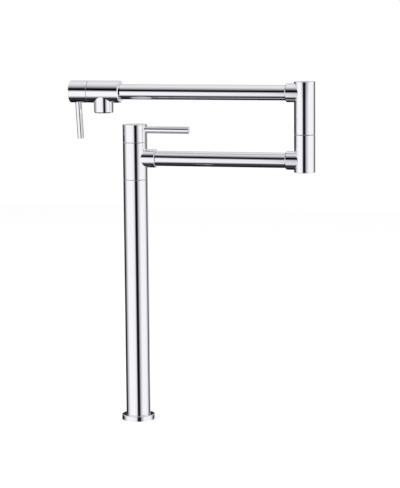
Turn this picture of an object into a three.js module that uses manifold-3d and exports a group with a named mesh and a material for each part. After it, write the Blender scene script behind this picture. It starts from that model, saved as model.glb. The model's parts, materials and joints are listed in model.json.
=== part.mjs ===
// Deck-mounted pot filler: a tall column, a swivelling lower arm with a stop valve above it, an
// elbow post, and an upper arm that ends in a second valve and a downward outlet.
// Millimetres, +Z up. The origin is the centre of the base flange's underside, on the deck.
// +X runs along the lower arm, away from the column. The upper arm is folded back along -X over
// it, and the user stands on the -Y side.

import * as THREE from 'three';
import { mergeVertices } from 'three/addons/utils/BufferGeometryUtils.js';
import Module from 'manifold-3d';

const wasm = await Module();
wasm.setup();

// ---------------------------------------------------------------- driving dimensions

// Base and column
const columnRadius = 20;
const columnWall = 2.5;
const columnHeight = 401.4;          // deck to the seam under the swivelling hub
const flangeRadius = 27.25;
const flangeThickness = 8.5;
const flangeRounding = 1.2;
const gasketThickness = 1.5;
const gasketWidth = 5;
const gasketRadius = 20.5;           // middle of the gasket's ring

// Fastening under the deck
const shankRadius = 14;
const shankLength = 70;              // below the deck's upper face
const shankEngagement = 21;          // length screwed into the column's base plug
const basePlugCrown = 4;             // base plug above the shank's end
const deckThickness = 20;            // deck that the clamp is drawn for
const clampRadius = 26;
const rubberWasherThickness = 3;
const steelWasherThickness = 2;
const lockNutFlats = 38;
const lockNutHeight = 12;
const riserRadius = 7;
const riserWall = 1.5;
const riserGap = 2;                  // room between the riser and the shank's bore
const inletThreadRadius = 10.4;      // half-inch pipe thread
const inletThreadLength = 18;
const inletBore = 6.6;
const inletCollarFlats = 27;
const inletCollarHeight = 8;

// Swivelling hub on the column and the valve cap over it
const hubArmHeight = 34.5;           // arm axis above the hub's lower face
const hubCrownHeight = 26;           // hub's upper face above the arm axis
const hubBossReach = 36;             // column axis to the boss's end face
const coreWall = 3.5;                // wall between the valve cup and the swivel journal
const corePlugDepth = 30;            // length of the core inside the column
const retainerHeight = 5;
const upperRingThickness = 1;        // bearing ring under the retaining nut, with its clearance
const columnCapHeight = 29.1;

// Arms
const armTubeRadius = 12.25;
const armTubeWall = 1.5;
const bossWall = 2.75;
const bossChamfer = 1.4;
const lowerArmLength = 284;          // column axis to elbow axis
const upperArmLength = 337;          // elbow axis to outlet axis

// Elbow post
const elbowRadius = 17;
const elbowWall = 3;
const elbowBossReach = 30.3;         // elbow axis to the boss's end face
const lowerElbowLength = 60.55;
const lowerElbowArmHeight = 18.9;    // arm axis above the lower housing's lower end
const upperElbowLength = 84.45;
const upperElbowArmDrop = 18.1;      // arm axis below the upper housing's upper end
const elbowWebLength = 24.5;         // bearing length in the upper housing
const elbowPlugHeight = 6;
const spindleWall = 5;
const spindleCollarHeight = 7;
const elbowNutHeight = 6;

// Spout head
const headRadius = 18;
const headBack = 29.6;               // outlet axis to the end that takes the arm
const headFront = 25.05;             // outlet axis to the seam at the valve cap
const headSocketDepth = 10;
const outletRadius = 16;
const outletDrop = 34.6;             // arm axis to the outlet's lower edge
const outletRecess = 14.4;           // depth of the aerator's seat
const outletWaterway = 7;
const aeratorWall = 2.1;
const aeratorLip = 0.4;              // aerator face above the outlet's edge
const aeratorFold = 1;               // inward edge that holds the insert
const aeratorHoles = 6;
const headCapLength = 30.35;

// Ceramic quarter-turn cartridge, the same in both valves, measured from its seat
const cartridgeRadius = 10.7;        // threaded head
const cartridgeShoulder = 1.5;       // step from the head down to the shell
const cartridgeShellWall = 2;
const cartridgeSealHeight = 2;
const cartridgeHeadStart = 30;
const cartridgeHexStart = 38;
const cartridgeLength = 44;
const cartridgeHexInset = 0.9;       // hexagon's corners inside the threaded head
const cartridgeWindowCentre = 14;
const cartridgeWindow = 7;
const discThickness = 3;
const stemRadius = 4.4;
const stemProtrusion = 9;            // splined stem beyond the cartridge's hexagon
const stemChamfer = 1;
const driverThickness = 3;

// Levers and their set screws
const columnLeverRadius = 5.75;
const columnLeverReach = 92;         // column axis to the lever's tip
const columnLeverDrop = 8.8;         // lever axis below the cap's end face
const headLeverRadius = 5.2;
const headLeverReach = 78.5;
const headLeverDrop = 11.4;
const headLeverAngle = 9.1;          // degrees behind straight down, at rest
const leverSeat = 8;                 // depth of the lever's socket in its cap
const setScrewRadius = 2.2;
const setScrewLength = 7;
const setScrewKey = 2.5;             // across flats
const setScrewKeyDepth = 3.5;

// Clearances
const seam = 0.5;                    // visible gap between pieces that turn on each other
const fit = 0.3;                     // radial clearance between assembled pieces
const slip = 0.05;                   // axial clearance of a bearing ring
const capWall = 3;
const ledge = 2;                     // shoulder that stops a tube in its socket
const bearingInset = 1;              // bearing ring set back from the outer surface
const plugInset = 0.2;               // end plug set back from the housing's end
const edgeBreak = 0.5;               // small chamfer on an end's edge
const capEdge = 1;                   // rounding of a valve cap's edge
const sealRadius = 0.9;
const sealLand = 1.8;                // plain stretch beside a seal
const crossPortRadius = 3.2;
const threadStep = 1;                // step from a bearing diameter down to its nut's thread

const roundSides = 24;
const smallSides = 20;
const screwSides = 12;
const sealSides = 6;

// ---------------------------------------------------------------- sizes worked out from them

const columnBore = columnRadius - columnWall;
const cupRadius = cartridgeRadius + fit;
const cartridgeShellRadius = cartridgeRadius - cartridgeShoulder;
const cartridgeShellBore = cartridgeShellRadius - cartridgeShellWall;
const cartridgeHexFlats = (cartridgeRadius - cartridgeHexInset) * Math.sqrt(3);
const sealGroove = 2 * sealRadius;
const journalRadius = cupRadius + coreWall;
const hubBore = journalRadius + fit;
const hubChamber = (columnRadius + hubBore) / 2;
const bossRadius = armTubeRadius + bossWall;
const socketRadius = armTubeRadius + fit;
const armWaterway = armTubeRadius - armTubeWall;
const shankBore = riserRadius + riserGap;
const stemLength = cartridgeLength + stemProtrusion;
const elbowBore = elbowRadius - elbowWall;
const spindleRadius = elbowBore - elbowWall;
const spindleBore = spindleRadius - spindleWall;

const shankTop = flangeThickness + shankEngagement;
const hubBottom = columnHeight + seam;
const lowerArmAxis = hubBottom + hubArmHeight;
const hubTop = lowerArmAxis + hubCrownHeight;
const columnSeat = lowerArmAxis - cartridgeWindowCentre;
const columnCapBottom = hubTop + seam;
const columnCapTop = columnCapBottom + columnCapHeight;

const lowerElbowBottom = lowerArmAxis - lowerElbowArmHeight;
const lowerElbowTop = lowerElbowBottom + lowerElbowLength;
const lowerWebBottom = lowerArmAxis + socketRadius + ledge;
const upperElbowBottom = lowerElbowTop + seam;
const upperWebTop = upperElbowBottom + elbowWebLength;
const upperElbowTop = upperElbowBottom + upperElbowLength;
const upperArmAxis = upperElbowTop - upperElbowArmDrop;

const outletX = lowerArmLength - upperArmLength;
const headBackX = outletX + headBack;
const headFrontX = outletX - headFront;
const headSeatX = outletX + cartridgeWindowCentre;
const headCapX = headFrontX - seam;

// ---------------------------------------------------------------- shapes

const quarterTurn = Math.PI / 2;

// A solid of revolution about Z. The profile holds [radius, height] points, counter-clockwise
// with the radius to the right. It starts and ends on the axis or is closed into a ring.
function turned(profile, sides = roundSides) {
  const outline = profile.map(([radius, height]) => new THREE.Vector2(radius, height));
  if (outline[0].x > 0) {
    outline.push(outline[0].clone());
  }
  const geometry = new THREE.LatheGeometry(outline, sides);
  geometry.rotateX(quarterTurn);
  return geometry;
}

function disc(radius, bottom, top, sides) {
  return turned([[0, bottom], [radius, bottom], [radius, top], [0, top]], sides);
}

function ring(inner, outer, bottom, top, sides) {
  return turned([[inner, bottom], [outer, bottom], [outer, top], [inner, top]], sides);
}

// Points on a quarter of a circle, for a rounded edge in a profile.
function quarterArc(centreRadius, centreHeight, radius, start, steps = 3) {
  const points = [];
  for (let step = 0; step <= steps; step += 1) {
    const angle = start + (quarterTurn * step) / steps;
    points.push([centreRadius + radius * Math.cos(angle), centreHeight + radius * Math.sin(angle)]);
  }
  return points;
}

// A seal with a round section, lying in the plane at the given height.
function roundSeal(middleRadius, height) {
  const profile = [];
  for (let side = 0; side < sealSides; side += 1) {
    const angle = (2 * Math.PI * side) / sealSides;
    profile.push([middleRadius + sealRadius * Math.cos(angle), height + sealRadius * Math.sin(angle)]);
  }
  return turned(profile, smallSides);
}

// A hexagonal prism with a round hole, or none, standing on a height.
function hexagon(flats, holeRadius, bottom, top) {
  const cornerRadius = flats / Math.sqrt(3);
  const outline = new THREE.Shape();
  for (let corner = 0; corner < 6; corner += 1) {
    const angle = (Math.PI * corner) / 3;
    const x = cornerRadius * Math.cos(angle);
    const y = cornerRadius * Math.sin(angle);
    if (corner === 0) {
      outline.moveTo(x, y);
    } else {
      outline.lineTo(x, y);
    }
  }
  outline.closePath();
  if (holeRadius > 0) {
    outline.holes.push(circlePath(0, 0, holeRadius, smallSides));
  }
  return extruded(outline, bottom, top);
}

function circlePath(x, y, radius, sides) {
  const path = new THREE.Path();
  for (let side = 0; side < sides; side += 1) {
    const angle = (2 * Math.PI * side) / sides;
    const point = [x + radius * Math.cos(angle), y + radius * Math.sin(angle)];
    if (side === 0) {
      path.moveTo(...point);
    } else {
      path.lineTo(...point);
    }
  }
  path.closePath();
  return path;
}

function extruded(outline, bottom, top) {
  const geometry = new THREE.ExtrudeGeometry(outline, { depth: top - bottom, bevelEnabled: false });
  geometry.translate(0, 0, bottom);
  return geometry;
}

// A cylinder along +X or -X from the Z axis, at a height.
function rodAlongX(radius, fromX, toX, height, sides = roundSides) {
  const geometry = disc(radius, Math.min(fromX, toX), Math.max(fromX, toX), sides);
  geometry.rotateY(quarterTurn);
  geometry.translate(0, 0, height);
  return geometry;
}

function toSolid(geometry) {
  const bare = geometry.clone();
  bare.deleteAttribute('normal');
  bare.deleteAttribute('uv');
  const merged = mergeVertices(bare, 1e-4);
  const corners = merged.getIndex().array;
  const triangles = [];
  for (let i = 0; i < corners.length; i += 3) {
    const [a, b, c] = corners.slice(i, i + 3);
    if (a !== b && b !== c && c !== a) {
      triangles.push(a, b, c);
    }
  }
  return new wasm.Manifold(new wasm.Mesh({
    numProp: 3,
    vertProperties: new Float32Array(merged.getAttribute('position').array),
    triVerts: new Uint32Array(triangles),
  }));
}

function toGeometry(solid) {
  const { vertProperties, triVerts } = solid.getMesh();
  const geometry = new THREE.BufferGeometry();
  geometry.setAttribute('position', new THREE.Float32BufferAttribute(vertProperties, 3));
  geometry.setIndex(new THREE.Uint32BufferAttribute(triVerts, 1));
  return geometry;
}

function joined(first, ...others) {
  return toGeometry(others.reduce((sum, other) => sum.add(toSolid(other)), toSolid(first)));
}

function cut(body, ...tools) {
  return toGeometry(tools.reduce((rest, tool) => rest.subtract(toSolid(tool)), toSolid(body)));
}

// ---------------------------------------------------------------- materials

const finishes = {
  chrome: { color: 0xd9d9e0, roughness: 0.06, metalness: 1 },
  brass: { color: 0xc8a45a, roughness: 0.35, metalness: 1 },
  steel: { color: 0xa9abad, roughness: 0.4, metalness: 1 },
  rubber: { color: 0x1b1b1c, roughness: 0.85, metalness: 0 },
  bearingPlastic: { color: 0x3a3b3e, roughness: 0.42, metalness: 0 },
  ceramic: { color: 0xf1eee6, roughness: 0.2, metalness: 0 },
  aeratorPlastic: { color: 0xc9cdd2, roughness: 0.45, metalness: 0 },
};

const potFiller = new THREE.Group();

function add(name, finish, geometry, parent = potFiller) {
  const mesh = new THREE.Mesh(geometry, new THREE.MeshStandardMaterial(finishes[finish]));
  mesh.name = name;
  parent.add(mesh);
}

// ---------------------------------------------------------------- base and deck fastening

function baseFlange() {
  const grooveInner = gasketRadius - gasketWidth / 2 - fit;
  const grooveOuter = gasketRadius + gasketWidth / 2 + fit;
  const grooveDepth = gasketThickness + slip;
  const edgeCentre = [flangeRadius - flangeRounding, flangeThickness - flangeRounding];
  return turned([
    [shankRadius + fit, 0],
    [grooveInner, 0],
    [grooveInner, grooveDepth],
    [grooveOuter, grooveDepth],
    [grooveOuter, 0],
    [flangeRadius - fit, 0],
    [flangeRadius, fit],
    ...quarterArc(...edgeCentre, flangeRounding, 0),
    [shankRadius + fit, flangeThickness],
  ]);
}

function columnBasePlug() {
  const bottom = flangeThickness + fit;
  const socketTop = shankTop + fit;
  const outer = columnBore - fit;
  return turned([
    [shankRadius + fit, bottom],
    [outer, bottom],
    [outer, socketTop + basePlugCrown],
    [riserRadius + fit, socketTop + basePlugCrown],
    [riserRadius + fit, socketTop],
    [shankRadius + fit, socketTop],
  ], smallSides);
}

function inletConnector() {
  const top = -shankLength;
  const collarBottom = top - inletCollarHeight;
  const bottom = collarBottom - inletThreadLength;
  const socketFloor = collarBottom - inletCollarHeight;
  const threaded = turned([
    [inletBore, bottom],
    [inletThreadRadius - threadStep, bottom],
    [inletThreadRadius, bottom + threadStep],
    [inletThreadRadius, top],
    [riserRadius + fit, top],
    [riserRadius + fit, socketFloor],
    [inletBore, socketFloor],
  ], smallSides);
  return joined(threaded, hexagon(inletCollarFlats, riserRadius + fit, collarBottom, top));
}

function supplyRiser() {
  const bottom = -shankLength - 2 * inletCollarHeight + fit;
  const top = columnHeight - corePlugDepth / 2 - fit;
  return ring(riserRadius - riserWall, riserRadius, bottom, top, smallSides);
}

function buildBase() {
  const rubberBottom = -deckThickness - rubberWasherThickness;
  const steelBottom = rubberBottom - steelWasherThickness;
  const gasketInner = gasketRadius - gasketWidth / 2;
  const gasketOuter = gasketRadius + gasketWidth / 2;
  const washerBore = shankRadius + fit;
  const nutBottom = steelBottom - lockNutHeight;
  add('base_flange', 'chrome', baseFlange());
  add('base_gasket', 'rubber', ring(gasketInner, gasketOuter, 0, gasketThickness));
  add('column_tube', 'chrome', ring(columnBore, columnRadius, flangeThickness, columnHeight));
  add('column_base_plug', 'brass', columnBasePlug());
  add('threaded_shank', 'brass', ring(shankBore, shankRadius, -shankLength, shankTop));
  add('deck_rubber_washer', 'rubber', ring(washerBore, clampRadius, rubberBottom, -deckThickness));
  add('deck_steel_washer', 'steel', ring(washerBore, clampRadius, steelBottom, rubberBottom));
  add('deck_lock_nut', 'brass', hexagon(lockNutFlats, washerBore, nutBottom, steelBottom));
  add('supply_riser', 'brass', supplyRiser());
  add('inlet_connector', 'brass', inletConnector());
}

// ---------------------------------------------------------------- swivel on top of the column

// Grooves that hold a round seal each, as rings to cut from a journal.
function sealGrooves(radius, heights) {
  return heights.map((height) => {
    const half = sealRadius + 2 * slip;
    return ring(radius - sealGroove, radius + ledge, height - half, height + half, smallSides);
  });
}

const hubSealHeights = [
  lowerArmAxis - bossRadius - 2 * sealLand,
  lowerArmAxis + bossRadius - sealLand,
];
const retainerBottom = hubTop - seam - retainerHeight;

function swivelCore() {
  const plugBottom = columnHeight - corePlugDepth;
  const riserSocketTop = columnHeight - corePlugDepth / 2;
  const shoulder = retainerBottom - slip;
  const body = turned([
    [riserRadius + fit, plugBottom],
    [columnBore - fit, plugBottom],
    [columnBore - fit, columnHeight],
    [journalRadius, columnHeight],
    [journalRadius, shoulder],
    [journalRadius - threadStep, shoulder],
    [journalRadius - threadStep, hubTop - seam],
    [cupRadius, hubTop - seam],
    [cupRadius, columnSeat],
    [riserRadius - riserWall, columnSeat],
    [riserRadius - riserWall, riserSocketTop],
    [riserRadius + fit, riserSocketTop],
  ]);
  const portLength = journalRadius + ledge;
  const portAlongX = rodAlongX(crossPortRadius, -portLength, portLength, lowerArmAxis, sealSides);
  const portAlongY = portAlongX.clone();
  portAlongY.rotateZ(quarterTurn);
  return cut(body, portAlongX, portAlongY, ...sealGrooves(journalRadius, hubSealHeights));
}

function armHub() {
  const chamberHalf = socketRadius - ledge;
  const counterbore = retainerBottom - 2 * slip - upperRingThickness;
  const shell = turned([
    [hubBore, hubBottom],
    [columnRadius, hubBottom],
    [columnRadius, hubTop],
    [hubChamber, hubTop],
    [hubChamber, counterbore],
    [hubBore, counterbore],
  ]);
  const boss = armBoss(hubBossReach);
  boss.translate(0, 0, lowerArmAxis);
  const bore = disc(hubBore, hubBottom - ledge, hubTop + ledge);
  const chamber = disc(hubChamber, lowerArmAxis - chamberHalf, lowerArmAxis + chamberHalf);
  const waterway = rodAlongX(armWaterway, 0, hubBossReach, lowerArmAxis, smallSides);
  const socket = rodAlongX(socketRadius, hubChamber + ledge, hubBossReach + ledge, lowerArmAxis);
  return cut(joined(shell, cut(boss, bore)), chamber, waterway, socket);
}

// A boss that takes an arm tube, along +X from the Z axis, with a chamfered end.
function armBoss(reach) {
  const geometry = turned([
    [0, 0],
    [bossRadius, 0],
    [bossRadius, reach - bossChamfer / 2],
    [bossRadius - bossChamfer / 2, reach],
    [0, reach],
  ]);
  geometry.rotateY(quarterTurn);
  return geometry;
}

function buildColumnSwivel() {
  const sealMiddle = journalRadius - sealGroove + sealRadius + slip;
  const bearingOuter = columnRadius - bearingInset;
  const retainerOuter = hubChamber - fit;
  add('swivel_core', 'brass', swivelCore());
  add('hub_lower_bearing', 'bearingPlastic',
    ring(hubBore, bearingOuter, columnHeight + slip, hubBottom - slip));
  add('hub_lower_seal', 'rubber', roundSeal(sealMiddle, hubSealHeights[0]));
  add('hub_upper_seal', 'rubber', roundSeal(sealMiddle, hubSealHeights[1]));
  add('hub_upper_bearing', 'bearingPlastic',
    ring(hubBore, retainerOuter, retainerBottom - upperRingThickness, retainerBottom - slip, smallSides));
  add('hub_retaining_nut', 'brass',
    ring(journalRadius - threadStep + fit, retainerOuter, retainerBottom, hubTop - seam, smallSides));
  add('arm_hub', 'chrome', armHub());
}

// ---------------------------------------------------------------- valve: cartridge, cap and lever

function cartridgeBody() {
  const shell = turned([
    [cartridgeShellBore, cartridgeSealHeight],
    [cartridgeShellRadius, cartridgeSealHeight],
    [cartridgeShellRadius, cartridgeHeadStart],
    [cartridgeRadius, cartridgeHeadStart],
    [cartridgeRadius, cartridgeHexStart],
    [stemRadius + fit, cartridgeHexStart],
    [stemRadius + fit, cartridgeHeadStart - ledge],
    [cartridgeShellBore, cartridgeHeadStart - ledge],
  ], smallSides);
  const head = hexagon(cartridgeHexFlats, stemRadius + fit, cartridgeHexStart, cartridgeLength);
  const windowReach = 2 * (cartridgeRadius + ledge);
  const window = new THREE.BoxGeometry(windowReach, cartridgeWindow, cartridgeWindow);
  window.translate(0, 0, cartridgeWindowCentre);
  return cut(joined(shell, head), window);
}

// A ceramic disc with two ports, which line up with the other disc's when the valve is open.
function ceramicDisc(bottom, turn) {
  const radius = cartridgeShellBore - fit;
  const outline = new THREE.Shape(circlePath(0, 0, radius, smallSides).getPoints());
  const portReach = radius / 2;
  const portRadius = portReach / 2;
  for (const side of [-1, 1]) {
    const x = side * portReach * Math.cos(turn);
    const y = side * portReach * Math.sin(turn);
    outline.holes.push(circlePath(x, y, portRadius, sealSides));
  }
  return extruded(outline, bottom, bottom + discThickness);
}

function cartridgeStem(driverBottom) {
  const driverTop = driverBottom + driverThickness;
  const tip = stemLength - stemChamfer;
  return turned([
    [0, driverBottom],
    [cartridgeShellBore - fit, driverBottom],
    [cartridgeShellBore - fit, driverTop],
    [stemRadius, driverTop],
    [stemRadius, tip],
    [stemRadius - stemChamfer, stemLength],
    [0, stemLength],
  ], smallSides);
}

function valveCap({ capRadius, capBottom, capTop, leverRadius, leverHeight, screwSide }) {
  const cavityTop = cartridgeLength + capWall;
  const body = turned([
    [capRadius - capWall, capBottom],
    [capRadius, capBottom],
    ...quarterArc(capRadius - capEdge, capTop - capEdge, capEdge, 0),
    [0, capTop],
    [0, stemLength + fit],
    [stemRadius + fit, stemLength + fit],
    [stemRadius + fit, cavityTop],
    [capRadius - capWall, cavityTop],
  ]);
  const socketFloor = capRadius - leverSeat;
  const socket = rodAlongX(leverRadius + fit, socketFloor, capRadius + ledge, leverHeight, smallSides);
  const screwHole = disc(setScrewRadius + fit, 0, capRadius + ledge, screwSides);
  screwHole.rotateX(-screwSide * quarterTurn);
  screwHole.translate(0, 0, cavityTop + setScrewRadius + fit + slip);
  return cut(body, socket, screwHole);
}

function lever(radius, root, reach) {
  const geometry = turned([
    [0, root],
    [radius, root],
    [radius, reach - edgeBreak],
    [radius - edgeBreak, reach],
    [0, reach],
  ], smallSides);
  geometry.rotateY(quarterTurn);
  return geometry;
}

function setScrew(side) {
  const root = stemRadius + fit;
  const end = root + setScrewLength;
  const body = disc(setScrewRadius, root, end, screwSides);
  const key = hexagon(setScrewKey, 0, end - setScrewKeyDepth, end + ledge);
  const geometry = cut(body, key);
  geometry.rotateX(-side * quarterTurn);
  return geometry;
}

// Everything of one valve, along +Z from the cartridge's seat, with the lever along +X.
function buildValve(prefix, parent, sizes) {
  const fixedDisc = cartridgeSealHeight + slip;
  const turningDisc = fixedDisc + discThickness + slip;
  const driver = turningDisc + discThickness + slip;
  const sealBore = riserRadius - riserWall;
  add(`${prefix}_cartridge_seal`, 'rubber',
    ring(sealBore, cartridgeShellRadius, 0, cartridgeSealHeight, smallSides), parent);
  add(`${prefix}_cartridge_body`, 'brass', cartridgeBody(), parent);
  add(`${prefix}_fixed_disc`, 'ceramic', ceramicDisc(fixedDisc, 0), parent);
  add(`${prefix}_turning_disc`, 'ceramic', ceramicDisc(turningDisc, quarterTurn), parent);
  add(`${prefix}_cartridge_stem`, 'brass', cartridgeStem(driver), parent);
  add(`${prefix}_handle_cap`, 'chrome', valveCap(sizes), parent);
  const leverGeometry = lever(sizes.leverRadius, sizes.capRadius - leverSeat + fit, sizes.leverReach);
  leverGeometry.translate(0, 0, sizes.leverHeight);
  add(`${prefix}_lever`, 'chrome', leverGeometry, parent);
  const screw = setScrew(sizes.screwSide);
  screw.translate(0, 0, cartridgeLength + capWall + setScrewRadius + fit + slip);
  add(`${prefix}_set_screw`, 'steel', screw, parent);
}

// ---------------------------------------------------------------- arms and elbow

// Two seals in the upper housing, at a quarter and at three quarters of the web's length.
const webQuarter = elbowWebLength / 4;
const spindleSealHeights = [upperElbowBottom + webQuarter, upperWebTop - webQuarter];
const housingSealHeight = (lowerWebBottom + lowerElbowTop) / 2;

function elbowHousing(bottom, top, webBottom, webTop, axisHeight) {
  const shell = turned([
    [0, bottom],
    [elbowRadius - edgeBreak, bottom],
    [elbowRadius, bottom + edgeBreak],
    [elbowRadius, top - edgeBreak],
    [elbowRadius - edgeBreak, top],
    [0, top],
  ]);
  const boss = turned([
    [0, 0],
    [bossRadius, 0],
    [bossRadius, elbowBossReach - bossChamfer],
    [bossRadius - bossChamfer, elbowBossReach],
    [0, elbowBossReach],
  ]);
  boss.rotateY(-quarterTurn);
  boss.translate(0, 0, axisHeight);
  const below = disc(elbowBore, bottom - ledge, webBottom);
  const above = disc(elbowBore, webTop, top + ledge);
  const bearing = disc(spindleRadius + fit, bottom, top);
  const waterway = rodAlongX(armWaterway, -elbowBossReach, 0, axisHeight, smallSides);
  const socket = rodAlongX(socketRadius, -elbowBossReach - ledge, -elbowBore - ledge, axisHeight);
  const tools = [bearing, waterway, socket];
  if (webBottom > bottom) {
    tools.push(below);
  }
  if (webTop < top) {
    tools.push(above);
  }
  return cut(joined(shell, boss), ...tools);
}

function elbowSpindle() {
  const collarBottom = lowerWebBottom - spindleCollarHeight;
  const nutShoulder = upperWebTop + seam + slip;
  const spindleTop = nutShoulder + elbowNutHeight + threadStep;
  const body = turned([
    [spindleBore, collarBottom],
    [elbowBore - fit, collarBottom],
    [elbowBore - fit, lowerWebBottom - slip],
    [spindleRadius, lowerWebBottom - slip],
    [spindleRadius, nutShoulder],
    [spindleRadius - threadStep, nutShoulder],
    [spindleRadius - threadStep, spindleTop],
    [spindleBore, spindleTop],
  ]);
  return cut(body, ...sealGrooves(spindleRadius, [housingSealHeight, ...spindleSealHeights]));
}

function elbowPlug(bottom, top) {
  return disc(elbowBore - fit, bottom, top);
}

function buildElbow() {
  const elbow = new THREE.Group();
  elbow.position.x = lowerArmLength;
  potFiller.add(elbow);
  const sealMiddle = spindleRadius - sealGroove + sealRadius + slip;
  const nutBottom = upperWebTop + seam + 2 * slip;
  const nutFlats = (elbowBore - fit) * Math.sqrt(3);
  const nutBore = spindleRadius - threadStep + fit;
  const ringOuter = elbowRadius - bearingInset;
  add('lower_elbow_housing', 'chrome',
    elbowHousing(lowerElbowBottom, lowerElbowTop, lowerWebBottom, lowerElbowTop, lowerArmAxis), elbow);
  add('lower_elbow_plug', 'chrome',
    elbowPlug(lowerElbowBottom + plugInset, lowerElbowBottom + elbowPlugHeight), elbow);
  add('elbow_spindle', 'brass', elbowSpindle(), elbow);
  add('elbow_lower_seal', 'rubber', roundSeal(sealMiddle, housingSealHeight), elbow);
  add('elbow_middle_seal', 'rubber', roundSeal(sealMiddle, spindleSealHeights[0]), elbow);
  add('elbow_upper_seal', 'rubber', roundSeal(sealMiddle, spindleSealHeights[1]), elbow);
  add('elbow_lower_bearing', 'bearingPlastic',
    ring(spindleRadius + fit, ringOuter, lowerElbowTop + slip, upperElbowBottom - slip), elbow);
  add('elbow_upper_bearing', 'bearingPlastic',
    ring(spindleRadius + fit, elbowBore - fit, upperWebTop + slip, upperWebTop + seam, smallSides),
    elbow);
  add('elbow_retaining_nut', 'brass',
    hexagon(nutFlats, nutBore, nutBottom, nutBottom + elbowNutHeight), elbow);
  add('upper_elbow_housing', 'chrome',
    elbowHousing(upperElbowBottom, upperElbowTop, upperElbowBottom, upperWebTop, upperArmAxis), elbow);
  add('upper_elbow_plug', 'chrome',
    elbowPlug(upperElbowTop - elbowPlugHeight, upperElbowTop - plugInset), elbow);
}

function armTube(fromX, toX, height) {
  const geometry = ring(armWaterway, armTubeRadius, fromX, toX);
  geometry.rotateY(quarterTurn);
  geometry.translate(0, 0, height);
  return geometry;
}

function buildArmTubes() {
  const elbowEnd = lowerArmLength - elbowBore - ledge - fit;
  const hubEnd = hubChamber + ledge + fit;
  const headEnd = headBackX - headSocketDepth + fit;
  add('lower_arm_tube', 'chrome', armTube(hubEnd, elbowEnd, lowerArmAxis));
  add('upper_arm_tube', 'chrome', armTube(headEnd, elbowEnd, upperArmAxis));
}

// ---------------------------------------------------------------- spout head

const aeratorRadius = outletRadius - aeratorWall - fit;
const aeratorSeat = upperArmAxis - outletDrop + outletRecess;
const outletBottom = upperArmAxis - outletDrop;

function spoutHead() {
  const barrel = turned([
    [0, headFrontX],
    [headRadius - edgeBreak / 2, headFrontX],
    [headRadius, headFrontX + edgeBreak / 2],
    [headRadius, headBackX - edgeBreak],
    [headRadius - edgeBreak, headBackX],
    [0, headBackX],
  ]);
  barrel.rotateY(quarterTurn);
  barrel.translate(0, 0, upperArmAxis);
  const outlet = turned([
    [0, outletBottom],
    [outletRadius - edgeBreak, outletBottom],
    [outletRadius, outletBottom + edgeBreak],
    [outletRadius, upperArmAxis],
    [0, upperArmAxis],
  ]);
  outlet.translate(outletX, 0, 0);
  const cup = rodAlongX(cupRadius, headFrontX - ledge, headSeatX, upperArmAxis);
  const waterwayRadius = riserRadius - riserWall;
  const waterway = rodAlongX(waterwayRadius, headSeatX - ledge, headBackX, upperArmAxis, smallSides);
  const socketFloor = headBackX - headSocketDepth;
  const socket = rodAlongX(socketRadius, socketFloor, headBackX + ledge, upperArmAxis);
  const recess = disc(outletRadius - aeratorWall, outletBottom - ledge, aeratorSeat);
  recess.translate(outletX, 0, 0);
  const drop = disc(outletWaterway, outletBottom, upperArmAxis, smallSides);
  drop.translate(outletX, 0, 0);
  return cut(joined(barrel, outlet), cup, waterway, socket, recess, drop);
}

// One hole in the middle and a circle of them, as wide as the webs between and the rim outside.
function aeratorInsert(radius, bottom, top) {
  const outline = new THREE.Shape(circlePath(0, 0, radius, smallSides).getPoints());
  const holeRadius = radius / 5;
  const holeCircle = 3 * holeRadius;
  outline.holes.push(circlePath(0, 0, holeRadius, sealSides));
  for (let hole = 0; hole < aeratorHoles; hole += 1) {
    const angle = (2 * Math.PI * hole) / aeratorHoles;
    const x = holeCircle * Math.cos(angle);
    const y = holeCircle * Math.sin(angle);
    outline.holes.push(circlePath(x, y, holeRadius, sealSides));
  }
  return extruded(outline, bottom, top);
}

function buildSpoutHead() {
  add('spout_head', 'chrome', spoutHead());
  const aerator = new THREE.Group();
  aerator.position.x = outletX;
  potFiller.add(aerator);
  const gasketBottom = aeratorSeat - ledge;
  const housingBottom = outletBottom + aeratorLip;
  const innerRadius = aeratorRadius - aeratorWall;
  add('aerator_gasket', 'rubber',
    ring(outletWaterway + ledge, aeratorRadius, gasketBottom, aeratorSeat, smallSides), aerator);
  add('aerator_housing', 'chrome', turned([
    [innerRadius - aeratorFold, housingBottom],
    [aeratorRadius - fit, housingBottom],
    [aeratorRadius, housingBottom + fit],
    [aeratorRadius, gasketBottom],
    [innerRadius, gasketBottom],
    [innerRadius, housingBottom + aeratorFold],
    [innerRadius - aeratorFold, housingBottom + aeratorFold],
  ]), aerator);
  add('aerator_insert', 'aeratorPlastic',
    aeratorInsert(innerRadius - fit, housingBottom + aeratorFold + slip, gasketBottom - fit), aerator);
}

function buildHeadValve() {
  const valve = new THREE.Group();
  valve.position.set(headSeatX, 0, upperArmAxis);
  // Local +Z is turned to -X, and the lever from +X to straight down and slightly back.
  const leverAngle = THREE.MathUtils.degToRad(headLeverAngle);
  const axis = new THREE.Vector3(-1, 0, 0);
  const leverWay = new THREE.Vector3(0, Math.sin(leverAngle), -Math.cos(leverAngle));
  const across = new THREE.Vector3().crossVectors(axis, leverWay);
  valve.setRotationFromMatrix(new THREE.Matrix4().makeBasis(leverWay, across, axis));
  potFiller.add(valve);
  const capBottom = headSeatX - headCapX;
  buildValve('head', valve, {
    capRadius: headRadius,
    capBottom,
    capTop: capBottom + headCapLength,
    leverRadius: headLeverRadius,
    leverReach: headLeverReach,
    leverHeight: capBottom + headCapLength - headLeverDrop,
    screwSide: -1,
  });
}

function buildColumnValve() {
  const valve = new THREE.Group();
  valve.position.z = columnSeat;
  potFiller.add(valve);
  const capTop = columnCapTop - columnSeat;
  buildValve('column', valve, {
    capRadius: columnRadius,
    capBottom: columnCapBottom - columnSeat,
    capTop,
    leverRadius: columnLeverRadius,
    leverReach: columnLeverReach,
    leverHeight: capTop - columnLeverDrop,
    screwSide: 1,
  });
}

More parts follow.
